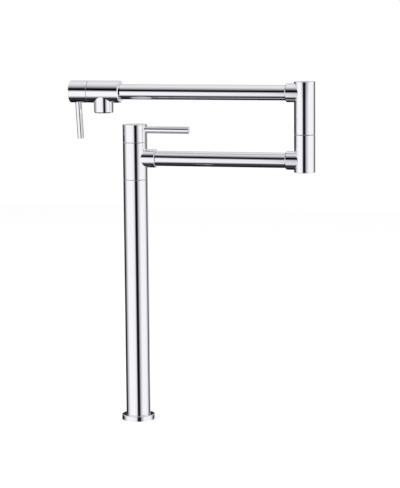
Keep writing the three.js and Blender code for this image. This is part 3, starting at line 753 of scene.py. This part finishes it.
def make_arm_tube(node_name, height):
    start, end = low(node_name).x, high(node_name).x
    tube = ring(WATERWAY_RADIUS, ARM_RADIUS, start, end)
    take_burr(tube, ARM_RADIUS, start, end)
    finish_chrome(lay(tube, TO_RIGHT, (0, 0, height)), node_name)


make_arm_tube("lower_arm_tube", LOWER_ARM_Z)
make_arm_tube("upper_arm_tube", UPPER_ARM_Z)

# %% [markdown]
# ## Elbow post
# Two housings turn on one hidden spindle. The lower is short and the upper is tall, and each ends
# in a plug that is pressed in flush. Their bosses have a wider chamfer than the hub's, which
# catches the light as a bright line round each arm.

# %% Elbow post
ELBOW_RADIUS = high("lower_elbow_housing").y
ELBOW_WALL = 3
ELBOW_BORE = ELBOW_RADIUS - ELBOW_WALL
BEARING_BORE = ELBOW_BORE - ELBOW_WALL + CLEARANCE
BOSS_CHAMFER = 1.4
POST_EDGE = 0.5


def make_elbow_housing(node_name, arm_z, bore_outline):
    bottom, top = low(node_name).z, high(node_name).z
    reach = ELBOW_X - low(node_name).x
    housing = ring(0, ELBOW_RADIUS, bottom, top)
    round_rim(housing, ELBOW_RADIUS, bottom, POST_EDGE)
    round_rim(housing, ELBOW_RADIUS, top, POST_EDGE)
    combine(housing, lay(make_boss(reach, BOSS_CHAMFER), TO_LEFT, (0, 0, arm_z)), "UNION")
    combine(housing, turned(bore_outline), "DIFFERENCE")
    combine(housing, lay(arm_socket(reach, ELBOW_BORE + PAST), TO_LEFT, (0, 0, arm_z)), "DIFFERENCE")
    finish_chrome(lay(housing, place=(ELBOW_X, 0, 0)), node_name)


def make_elbow_plug(node_name):
    bottom, top = low(node_name).z, high(node_name).z
    radius = ELBOW_BORE - CLEARANCE
    plug = ring(0, radius, bottom, top)
    take_burr(plug, radius, bottom, top)
    finish_chrome(lay(plug, place=(ELBOW_X, 0, 0)), node_name)


lower_bottom, lower_top = low("lower_elbow_housing").z, high("lower_elbow_housing").z
lower_web = LOWER_ARM_Z + SOCKET_RADIUS + PAST
make_elbow_housing("lower_elbow_housing", LOWER_ARM_Z,
                   [(0, lower_bottom - PAST), (ELBOW_BORE, lower_bottom - PAST), (ELBOW_BORE, lower_web),
                    (BEARING_BORE, lower_web), (BEARING_BORE, lower_top + PAST), (0, lower_top + PAST)])
upper_bottom, upper_top = low("upper_elbow_housing").z, high("upper_elbow_housing").z
upper_web = low("elbow_upper_bearing").z - SLIP
make_elbow_housing("upper_elbow_housing", UPPER_ARM_Z,
                   [(0, upper_bottom - PAST), (BEARING_BORE, upper_bottom - PAST),
                    (BEARING_BORE, upper_web), (ELBOW_BORE, upper_web), (ELBOW_BORE, upper_top + PAST),
                    (0, upper_top + PAST)])
make_elbow_plug("lower_elbow_plug")
make_elbow_plug("upper_elbow_plug")

# %% [markdown]
# ## Bearing rings
# A thin acetal ring lies between the pieces that turn on each other, set back from the surface.
# It shows as the dark bottom of the seam.

# %% Bearing rings


def make_bearing(node_name, bore, centre_x):
    bottom, top = low(node_name).z, high(node_name).z
    bearing = ring(bore, high(node_name).y, bottom, top)
    finish_piece(lay(bearing, place=(centre_x, 0, 0)), node_name, BEARING_PLASTIC)


make_bearing("hub_lower_bearing", HUB_BORE, 0)
make_bearing("elbow_lower_bearing", BEARING_BORE, ELBOW_X)

# %% [markdown]
# ## Spout head
# The head is a barrel in line with the upper arm. A shorter pipe points down from it and holds the
# aerator. The barrel's back end has a small chamfer, and its front end meets the valve cap at a
# seam. Inside are the seat of the valve's cartridge, a waterway and the arm's socket.

# %% Spout head
HEAD_RADIUS = high("spout_head").y
OUTLET_WALL = 2.1
OUTLET_RADIUS = high("aerator_housing").y + CLEARANCE + OUTLET_WALL
CARTRIDGE_CUP = 11
HEAD_WATERWAY = 5.5
OUTLET_WATERWAY = 7
OUTLET_CHAMFER = 1.6
HEAD_CHAMFER = 1.3


def make_spout_head():
    front, back = low("spout_head").x, high("spout_head").x
    outlet_bottom = low("spout_head").z
    seat = high("head_cartridge_seal").x
    arm_stop = low("upper_arm_tube").x - SOCKET_STOP
    aerator_seat = high("aerator_gasket").z
    recess = high("aerator_housing").y + CLEARANCE
    head = turned([(0, front), (HEAD_RADIUS, front), (HEAD_RADIUS, back - HEAD_CHAMFER),
                   (HEAD_RADIUS - HEAD_CHAMFER, back), (0, back)])
    take_burr(head, HEAD_RADIUS, front)
    lay(head, TO_RIGHT, (0, 0, UPPER_ARM_Z))
    outlet = turned([(0, outlet_bottom), (OUTLET_RADIUS - OUTLET_CHAMFER, outlet_bottom),
                     (OUTLET_RADIUS, outlet_bottom + OUTLET_CHAMFER), (OUTLET_RADIUS, UPPER_ARM_Z),
                     (0, UPPER_ARM_Z)])
    combine(head, lay(outlet, place=(OUTLET_X, 0, 0)), "UNION")
    bore = turned([(0, front - PAST), (CARTRIDGE_CUP, front - PAST), (CARTRIDGE_CUP, seat),
                   (HEAD_WATERWAY, seat), (HEAD_WATERWAY, arm_stop), (SOCKET_RADIUS, arm_stop),
                   (SOCKET_RADIUS, back + PAST), (0, back + PAST)])
    combine(head, lay(bore, TO_RIGHT, (0, 0, UPPER_ARM_Z)), "DIFFERENCE")
    drop = turned([(0, outlet_bottom - PAST), (recess, outlet_bottom - PAST), (recess, aerator_seat),
                   (OUTLET_WATERWAY, aerator_seat), (OUTLET_WATERWAY, UPPER_ARM_Z), (0, UPPER_ARM_Z)])
    combine(head, lay(drop, place=(OUTLET_X, 0, 0)), "DIFFERENCE")
    finish_chrome(head, "spout_head")


make_spout_head()

# %% [markdown]
# ## Aerator
# A chromed ring screws into the outlet and holds a plastic insert, which breaks the water into an
# even stream. The insert is a disc with a hole in the middle and six in a ring round it. Each is
# drilled in turn, and the lower rims of the holes are softened as a mould leaves them.

# %% Aerator
AERATOR_FOLD = 1                # the housing's inward lip under the insert
AERATOR_LIP_RIM = 0.4
AERATOR_LIP_STEPS = 4
RING_HOLES = 6
HOLE_RADII_TO_RIM = 5           # the insert's radius, counted in hole radii
HOLE_RADII_TO_RING = 3
HOLE_RIM = 0.35
DRILL_SIDES = 32


def make_aerator_housing():
    bottom, top = low("aerator_housing").z, high("aerator_housing").z
    radius = high("aerator_housing").y
    inner = high("aerator_insert").y + CLEARANCE
    housing = turned([(inner - AERATOR_FOLD, bottom), (radius, bottom), (radius, top), (inner, top),
                      (inner, bottom + AERATOR_FOLD), (inner - AERATOR_FOLD, bottom + AERATOR_FOLD)])
    round_rim(housing, radius, bottom, CLEARANCE, EDGE_STEPS)
    round_rim(housing, inner - AERATOR_FOLD, bottom, AERATOR_LIP_RIM, AERATOR_LIP_STEPS)
    finish_chrome(lay(housing, place=(OUTLET_X, 0, 0)), "aerator_housing")


def make_aerator_insert():
    bottom, top = low("aerator_insert").z, high("aerator_insert").z
    radius = high("aerator_insert").y
    hole_radius = radius / HOLE_RADII_TO_RIM
    ring_radius = HOLE_RADII_TO_RING * hole_radius
    insert = ring(0, radius, bottom, top, SMALL_SIDES)
    centres = [(0, 0)]
    for hole in range(RING_HOLES):
        angle = 2 * math.pi * hole / RING_HOLES
        centres.append((ring_radius * math.cos(angle), ring_radius * math.sin(angle)))
    for x, y in centres:
        drill = ring(0, hole_radius, bottom - PAST, top + PAST, DRILL_SIDES)
        combine(insert, lay(drill, place=(x, y, 0)), "DIFFERENCE")
    edit(insert)
    pick_edges(insert, lambda corner: abs(corner.z - bottom) < CLOSE
               and math.hypot(corner.x, corner.y) < radius - CLEARANCE)
    bpy.ops.mesh.bevel(offset=HOLE_RIM, segments=EDGE_STEPS, affect="EDGES")
    lay(insert, place=(OUTLET_X, 0, 0))
    finish_piece(insert, "aerator_insert", AERATOR_PLASTIC)


make_aerator_housing()
make_aerator_insert()

# %% [markdown]
# ## Valve caps, levers and set screws
# Both valves are the same inside. A cap turns with the valve's stem, a straight round lever is
# pressed into its side, and a small socket screw at the back clamps the cap to the stem. Each
# piece is made upright, with the lever along +X. The head's pieces are then laid on their side,
# so that the valve points left and the lever hangs down and a little back.

# %% Valves
CAP_WALL = 3
CAP_RIM = 0.4
CAP_RIM_STEPS = 6
STEM_RADIUS = 4.4
LEVER_SEAT = 8
COLUMN_LEVER_TIP = 0.8
HEAD_LEVER_TIP = 0.3
SCREW_RADIUS = 2.2
SCREW_KEY = 2.5
SCREW_KEY_DEPTH = 3.5
SCREW_LENGTH = 7
SCREW_CUP = 0.4                 # depth of the hollow in the screw's inner end
SCREW_CHAMFER = 0.5
SCREW_TOP_CHAMFER = 0.4
HEAD_LEVER_ANGLE = 9.1
HEAD_LEVER_REACH = 78.5


def lay_head(piece):
    lay(piece, TO_LEFT)
    return lay(piece, (180 + HEAD_LEVER_ANGLE, 0, 0), (0, 0, UPPER_ARM_Z))


def make_cap(valve):
    radius, cavity = valve["radius"], valve["cavity"]
    stem_bore = STEM_RADIUS + CLEARANCE
    stem_top = valve["stem_tip"] + CLEARANCE
    inner = radius - CAP_WALL
    cap = turned([(0, stem_top), (stem_bore, stem_top), (stem_bore, cavity), (inner, cavity),
                  (inner, valve["start"]), (radius, valve["start"]), (radius, valve["end"]),
                  (0, valve["end"])])
    round_rim(cap, radius, valve["end"], CAP_RIM, CAP_RIM_STEPS)
    take_burr(cap, radius, valve["start"])
    seat = radius - LEVER_SEAT
    lever_hole = valve["lever_radius"] + CLEARANCE
    socket = ring(0, lever_hole, seat, radius + PAST, SMALL_SIDES)
    combine(cap, lay(socket, TO_RIGHT, (0, 0, valve["lever_height"])), "DIFFERENCE")
    screw_hole = SCREW_RADIUS + CLEARANCE
    hole = ring(0, screw_hole, 0, radius + PAST, SMALL_SIDES)
    combine(cap, lay(hole, valve["screw_turn"], (0, 0, valve["screw_height"])), "DIFFERENCE")
    return cap


def make_lever(valve):
    radius, tip = valve["lever_radius"], valve["lever_tip"]
    root = valve["radius"] - LEVER_SEAT + CLEARANCE
    lever = ring(0, radius, root, tip)
    round_rim(lever, radius, tip, valve["tip_rounding"])
    return lay(lever, TO_RIGHT, (0, 0, valve["lever_height"]))


def make_set_screw(valve):
    root = STEM_RADIUS + CLEARANCE
    end = root + SCREW_LENGTH
    screw = turned([(0, root + SCREW_CUP), (SCREW_RADIUS / 2, root),
                    (SCREW_RADIUS - SCREW_CHAMFER, root), (SCREW_RADIUS, root + SCREW_CHAMFER),
                    (SCREW_RADIUS, end - SCREW_TOP_CHAMFER), (SCREW_RADIUS - SCREW_TOP_CHAMFER, end),
                    (0, end)], SMALL_SIDES)
    deselect_all()
    bpy.ops.mesh.primitive_cylinder_add(vertices=6, radius=SCREW_KEY / math.sqrt(3),
                                        depth=2 * SCREW_KEY_DEPTH, location=(0, 0, end))
    combine(screw, bpy.context.object, "DIFFERENCE")
    return lay(screw, valve["screw_turn"], (0, 0, valve["screw_height"]))


def make_valve(prefix, radius, lever_tip, tip_rounding, screw_turn, along, put):
    """along gives a node's two ends on the valve's own axis, and put lays a piece where it belongs."""
    start, end = along(prefix + "_handle_cap")
    lever_start, lever_end = along(prefix + "_lever")
    cavity = along(prefix + "_cartridge_body")[1] + CAP_WALL
    valve = {
        "radius": radius, "start": start, "end": end, "cavity": cavity,
        "stem_tip": along(prefix + "_cartridge_stem")[1],
        "lever_radius": (lever_end - lever_start) / 2,
        "lever_height": (lever_end + lever_start) / 2,
        "lever_tip": lever_tip,
        "tip_rounding": tip_rounding,
        "screw_turn": screw_turn,
        "screw_height": cavity + SCREW_RADIUS + CLEARANCE + SLIP,
    }
    finish_chrome(put(make_cap(valve)), prefix + "_handle_cap")
    finish_chrome(put(make_lever(valve)), prefix + "_lever")
    finish_piece(put(make_set_screw(valve)), prefix + "_set_screw", STEEL)


make_valve("column", COLUMN_RADIUS, high("column_lever").x, COLUMN_LEVER_TIP, (-90, 0, 0),
           lambda node_name: (low(node_name).z, high(node_name).z), lambda piece: piece)
make_valve("head", HEAD_RADIUS, HEAD_LEVER_REACH, HEAD_LEVER_TIP, (90, 0, 0),
           lambda node_name: (-high(node_name).x, -low(node_name).x), lay_head)

# %% [markdown]
# ## Threads
# A thread is a ridge that winds round a rod. Its section is a small plane, narrowed at the crest.
# The Screw modifier winds it up, the two ends are closed, and a chamfered cylinder trims it to
# length, which leaves the run-in that a die cuts. Then the ridge is joined to its rod.

# %% Thread helper
THREAD_STEPS = 48
THREAD_SINK = 0.15              # how far the ridge starts inside its rod
THREAD_DEPTH = 0.6              # as THREAD_WIDTH, a share of the pitch
THREAD_WIDTH = 0.9
CREST_SHARE = 0.2               # the crest's width as a share of the root's
THREAD_CHAMFER = 1


def add_thread(rod, radius, pitch, bottom, top):
    root = radius - THREAD_DEPTH * pitch - THREAD_SINK
    deselect_all()
    bpy.ops.mesh.primitive_plane_add(size=1, rotation=(math.radians(90), 0, 0),
                                     location=((root + radius) / 2, 0, bottom - pitch))
    ridge = bpy.context.object
    ridge.scale = (radius - root, THREAD_WIDTH * pitch, 1)
    bpy.ops.object.transform_apply(location=True, rotation=True, scale=True)
    edit(ridge)
    pick_edges(ridge, lambda corner: corner.x > radius - CLOSE)
    bpy.ops.transform.resize(value=(1, 1, CREST_SHARE), center_override=(radius, 0, bottom - pitch))
    bpy.ops.mesh.select_all(action="SELECT")
    bpy.ops.mesh.delete(type="ONLY_FACE")
    deselect_all()
    make_active(ridge)
    winding = ridge.modifiers.new("winding", "SCREW")
    winding.axis = "Z"
    winding.angle = 2 * math.pi
    winding.screw_offset = pitch
    winding.iterations = math.ceil((top - bottom) / pitch) + 2
    winding.steps = winding.render_steps = THREAD_STEPS
    winding.use_merge_vertices = True
    winding.merge_threshold = CLOSE / 2
    bpy.ops.object.modifier_apply(modifier=winding.name)
    edit(ridge)
    bpy.ops.mesh.select_mode(type="EDGE")
    bpy.ops.mesh.select_all(action="SELECT")
    bpy.ops.mesh.remove_doubles(threshold=CLOSE / 10)
    bpy.ops.mesh.fill_holes(sides=0)
    bpy.ops.mesh.select_all(action="SELECT")
    bpy.ops.mesh.normals_make_consistent(inside=False)
    crest, end_radius = radius + CLOSE, radius - THREAD_CHAMFER
    trim = turned([(0, bottom), (end_radius, bottom), (crest, bottom + THREAD_CHAMFER),
                   (crest, top - THREAD_CHAMFER), (end_radius, top), (0, top)], SMALL_SIDES)
    combine(ridge, trim, "INTERSECT")
    combine(rod, ridge, "UNION")


# %% [markdown]
# ## Fastening under the deck
# The threaded shank goes down through the deck. A rubber washer, a steel washer and a large lock
# nut clamp it from below, and the water comes in through a connector on the shank's end. The nut
# and the connector's collar are hexagons whose corners are turned off at 30 degrees.

# %% Fastening under the deck
SHANK_PITCH = 1.5
INLET_PITCH = 1.8
SHANK_BORE = 9
NUT_SLOPE = math.tan(math.radians(30))
NUT_FACE = 0.97                 # the turned face's width as a share of the flats
NUT_CHAMFER = 1
RUBBER_WASHER_EDGE = 0.5
STEEL_WASHER_EDGE = 0.3
WASHER_EDGE_STEPS = 4
INLET_RADIUS = 10.4
INLET_BORE = 6.6
COLLAR_HEIGHT = 8
COLLAR_OVERLAP = 0.5            # how far the inlet's thread runs into its collar


def make_hexagon(flats, bottom, top):
    """A hexagonal prism with a corner on the X axis, whose six points are turned off at both ends."""
    corner = flats / math.sqrt(3)
    deselect_all()
    bpy.ops.mesh.primitive_cylinder_add(vertices=6, radius=corner, depth=top - bottom,
                                        location=(0, 0, (bottom + top) / 2),
                                        rotation=(0, 0, math.radians(90)))
    prism = bpy.context.object
    bpy.ops.object.transform_apply(location=True, rotation=True, scale=True)
    flat = NUT_FACE * flats / 2
    drop = (corner - flat) * NUT_SLOPE
    points_off = turned([(0, bottom), (flat, bottom), (corner + CLOSE, bottom + drop),
                         (corner + CLOSE, top - drop), (flat, top), (0, top)])
    combine(prism, points_off, "INTERSECT")
    return prism


def make_washer(node_name, edge, material):
    bottom, top, radius = low(node_name).z, high(node_name).z, high(node_name).x
    bore = high("threaded_shank").x + CLEARANCE
    washer = ring(bore, radius, bottom, top)
    for rim in (bore, radius):
        for height in (bottom, top):
            round_rim(washer, rim, height, edge, WASHER_EDGE_STEPS)
    finish_piece(washer, node_name, material)


def make_shank():
    radius = high("threaded_shank").x
    bottom, top = low("threaded_shank").z, high("threaded_shank").z
    root = radius - THREAD_DEPTH * SHANK_PITCH
    shank = ring(SHANK_BORE, root, bottom, top, SMALL_SIDES)
    add_thread(shank, radius, SHANK_PITCH, bottom, top)
    finish_brass(shank, "threaded_shank")


def make_lock_nut():
    bottom, top = low("deck_lock_nut").z, high("deck_lock_nut").z
    flats = 2 * high("deck_lock_nut").y
    bore = high("threaded_shank").x + CLEARANCE
    nut = make_hexagon(flats, bottom, top)
    mouth = bore + NUT_CHAMFER + PAST
    combine(nut, turned([(0, bottom - PAST), (mouth, bottom - PAST), (bore, bottom + NUT_CHAMFER),
                         (bore, top - NUT_CHAMFER), (mouth, top + PAST), (0, top + PAST)],
                        SMALL_SIDES), "DIFFERENCE")
    finish_brass(nut, "deck_lock_nut")


def make_inlet():
    bottom, top = low("inlet_connector").z, high("inlet_connector").z
    riser_bottom = low("supply_riser").z - CLEARANCE
    socket = high("supply_riser").y + CLEARANCE
    flats = 2 * high("inlet_connector").y
    collar_bottom = top - COLLAR_HEIGHT
    root = INLET_RADIUS - THREAD_DEPTH * INLET_PITCH
    inlet = ring(0, root, bottom, top, SMALL_SIDES)
    combine(inlet, make_hexagon(flats, collar_bottom, top), "UNION")
    add_thread(inlet, INLET_RADIUS, INLET_PITCH, bottom, collar_bottom + COLLAR_OVERLAP)
    combine(inlet, turned([(0, bottom - PAST), (INLET_BORE, bottom - PAST), (INLET_BORE, riser_bottom),
                           (socket, riser_bottom), (socket, top + PAST), (0, top + PAST)],
                          SMALL_SIDES), "DIFFERENCE")
    finish_brass(inlet, "inlet_connector")


make_shank()
make_washer("deck_rubber_washer", RUBBER_WASHER_EDGE, RUBBER)
make_washer("deck_steel_washer", STEEL_WASHER_EDGE, STEEL)
make_lock_nut()
make_inlet()

# %% [markdown]
# ## The pieces inside
# The frame's own meshes stay where nothing shows of them: the valves' cartridges, the spindle, the
# plugs and the seals. Each gets the finish of its own material.

# %% Finishes of the inner pieces
INNER = {
    RUBBER: ["base_gasket", "hub_lower_seal", "hub_upper_seal", "column_cartridge_seal",
             "head_cartridge_seal", "elbow_lower_seal", "elbow_middle_seal", "elbow_upper_seal",
             "aerator_gasket"],
    BEARING_PLASTIC: ["hub_upper_bearing", "elbow_upper_bearing"],
    CERAMIC: [side + disc for side in ("column", "head") for disc in ("_fixed_disc", "_turning_disc")],
    BRASS_COLUMN: ["column_base_plug", "supply_riser", "swivel_core", "hub_retaining_nut",
                   "column_cartridge_body", "column_cartridge_stem"],
    BRASS_ELBOW: ["elbow_spindle", "elbow_retaining_nut"],
    BRASS_HEAD: ["head_cartridge_body", "head_cartridge_stem"],
}
for material, node_names in INNER.items():
    for node_name in node_names:
        frame["nodes"][node_name].material_slots[0].material = material
dressed = sum(len(node_names) for node_names in INNER.values())
hidden = sum(1 for piece in frame["nodes"].values() if piece.hide_render)
print(dressed, "inner nodes dressed,", hidden, "replaced, of", len(frame["nodes"]))
